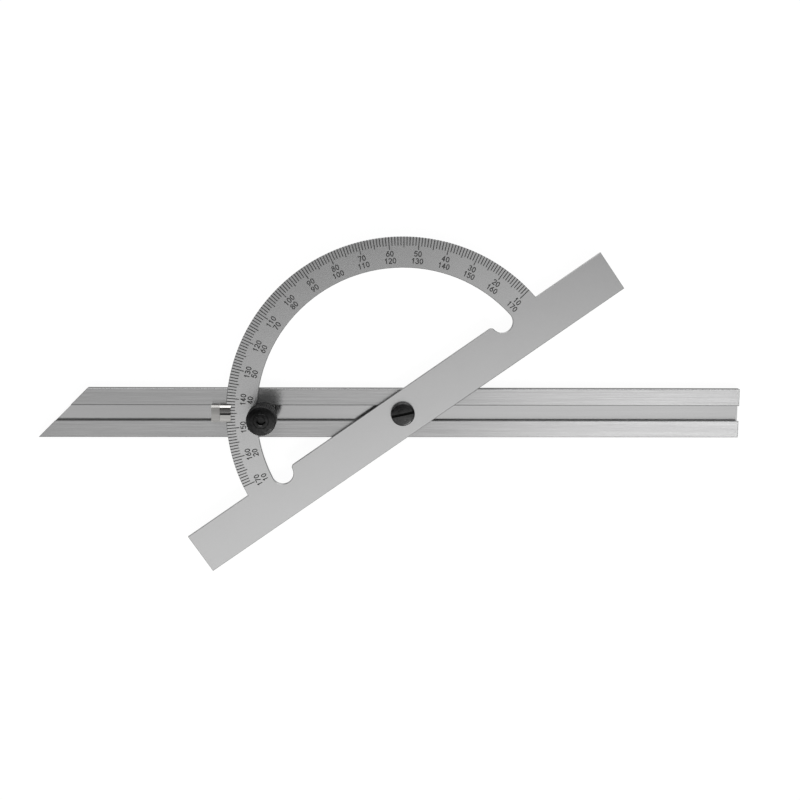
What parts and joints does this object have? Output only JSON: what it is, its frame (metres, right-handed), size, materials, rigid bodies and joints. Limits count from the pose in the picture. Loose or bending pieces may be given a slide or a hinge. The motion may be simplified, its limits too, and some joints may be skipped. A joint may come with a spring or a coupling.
{
  "type": "protractor",
  "caption": "Workshop protractor: a degree arc on a base bar that swings over and slides along a grooved steel rail, with an index slider and a knurled clamp nut.",
  "frame": {"origin": "on the pivot axis of the plate, at the rail's back face", "axes": "+X along the rail to its square end, +Y across the rail to the side of the arc, +Z out of the rail's front face"},
  "size_m": [0.3, 0.1437, 0.0281],
  "materials": {
    "rail_steel": "ground steel with a fine grain along the rail",
    "satin_chrome": "satin, matt chrome on steel",
    "block_steel": "milled steel",
    "black_oxide": "black oxide on turned steel",
    "bright_nickel": "bright nickel on milled steel"
  },
  "bodies": {
    "rail": {"rail": "rail_steel"},
    "pivot_carriage": {"pivot_slide_block": "block_steel", "pivot_screw": "black_oxide"},
    "plate": {"protractor_plate": "satin_chrome"},
    "index_carriage": {"index_slider": "bright_nickel", "clamp_stud": "black_oxide"},
    "clamp_nut": {"clamp_nut": "black_oxide"}
  },
  "joints": [
    {"name": "pivot_slide", "type": "slide", "parent": "rail", "child": "pivot_carriage", "axis": [1, 0, 0], "range_m": [-0.055, 0.13]},
    {"name": "plate_swing", "type": "hinge", "parent": "pivot_carriage", "child": "plate", "pos_m": [0, 0, 0.005], "axis": [0, 0, 1], "range_deg": [-25, 135]},
    {"name": "index_slide", "type": "slide", "parent": "rail", "child": "index_carriage", "axis": [1, 0, 0], "range_m": [-0.055, 0.13]},
    {"name": "clamp_nut_turn", "type": "hinge", "parent": "index_carriage", "child": "clamp_nut", "pos_m": [-0.0589, 0, 0.006], "axis": [0, 0, 1], "range_deg": [0, 360]}
  ],
  "couplings": [
    {"joint": "index_slide", "follows": "pivot_slide", "ratio": 1}
  ]
}
